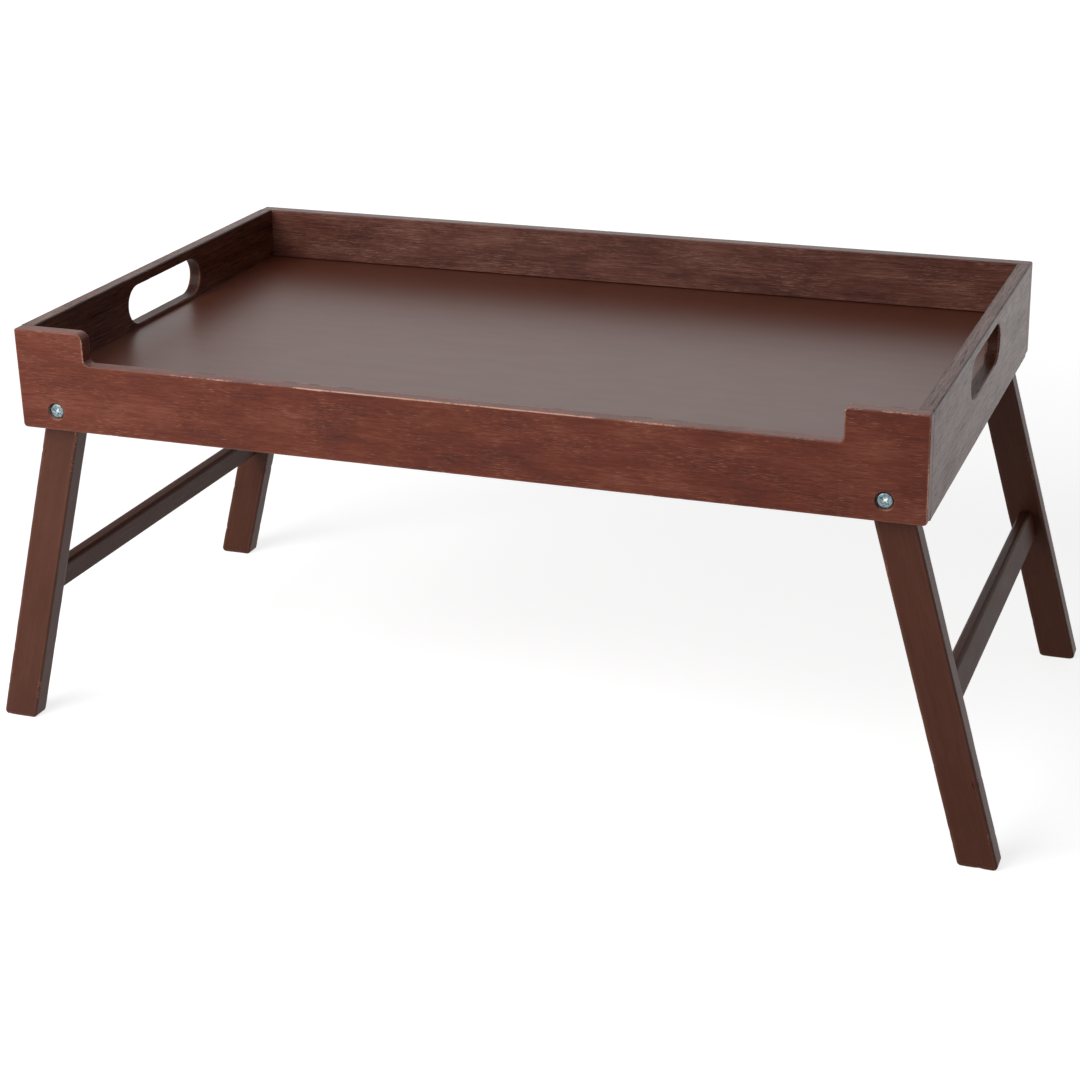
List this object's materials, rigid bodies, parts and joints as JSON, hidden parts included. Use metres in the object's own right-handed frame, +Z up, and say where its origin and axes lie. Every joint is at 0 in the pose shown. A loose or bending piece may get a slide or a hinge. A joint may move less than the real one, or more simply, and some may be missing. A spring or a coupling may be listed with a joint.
{
  "type": "bed tray table",
  "caption": "Wooden bed tray table: a railed tray with a lowered front rail and hand holes in its ends, on splayed leg frames that fold flat under the panel.",
  "frame": {"origin": "on the floor, midway between the four feet", "axes": "+X along the tray to the sitter's right, -Y towards the sitter and the lowered rail, +Z up"},
  "size_m": [0.594, 0.3, 0.246],
  "materials": {
    "rail_wood": "dark red-brown stain under satin lacquer, open lengthwise grain",
    "panel_wood": "dark brown stain under smooth satin lacquer",
    "leg_wood": "dark red-brown stain under smooth satin lacquer",
    "zinc_plated_steel": "bright zinc plate, faintly blue",
    "nylon": "natural nylon"
  },
  "bodies": {
    "tray": {"front_rail": "rail_wood", "back_rail": "rail_wood", "left_end_rail": "rail_wood", "right_end_rail": "rail_wood", "tray_panel": "panel_wood", "front_left_pivot_screw": "zinc_plated_steel", "front_left_spacer_washer": "nylon", "front_left_nut_washer": "zinc_plated_steel", "front_left_lock_nut": "zinc_plated_steel", "front_right_pivot_screw": "zinc_plated_steel", "front_right_spacer_washer": "nylon", "front_right_nut_washer": "zinc_plated_steel", "front_right_lock_nut": "zinc_plated_steel", "back_left_pivot_screw": "zinc_plated_steel", "back_left_spacer_washer": "nylon", "back_left_nut_washer": "zinc_plated_steel", "back_left_lock_nut": "zinc_plated_steel", "back_right_pivot_screw": "zinc_plated_steel", "back_right_spacer_washer": "nylon", "back_right_nut_washer": "zinc_plated_steel", "back_right_lock_nut": "zinc_plated_steel"},
    "left_leg_frame": {"front_left_leg": "leg_wood", "back_left_leg": "leg_wood", "left_stretcher": "leg_wood"},
    "right_leg_frame": {"front_right_leg": "leg_wood", "back_right_leg": "leg_wood", "right_stretcher": "leg_wood"}
  },
  "joints": [
    {"name": "left_leg_fold", "type": "hinge", "parent": "tray", "child": "left_leg_frame", "pos_m": [-0.23347, 0, 0.1996], "axis": [0, -1, 0], "range_deg": [0, 105]},
    {"name": "right_leg_fold", "type": "hinge", "parent": "tray", "child": "right_leg_frame", "pos_m": [0.23347, 0, 0.1996], "axis": [0, 1, 0], "range_deg": [0, 105]}
  ]
}
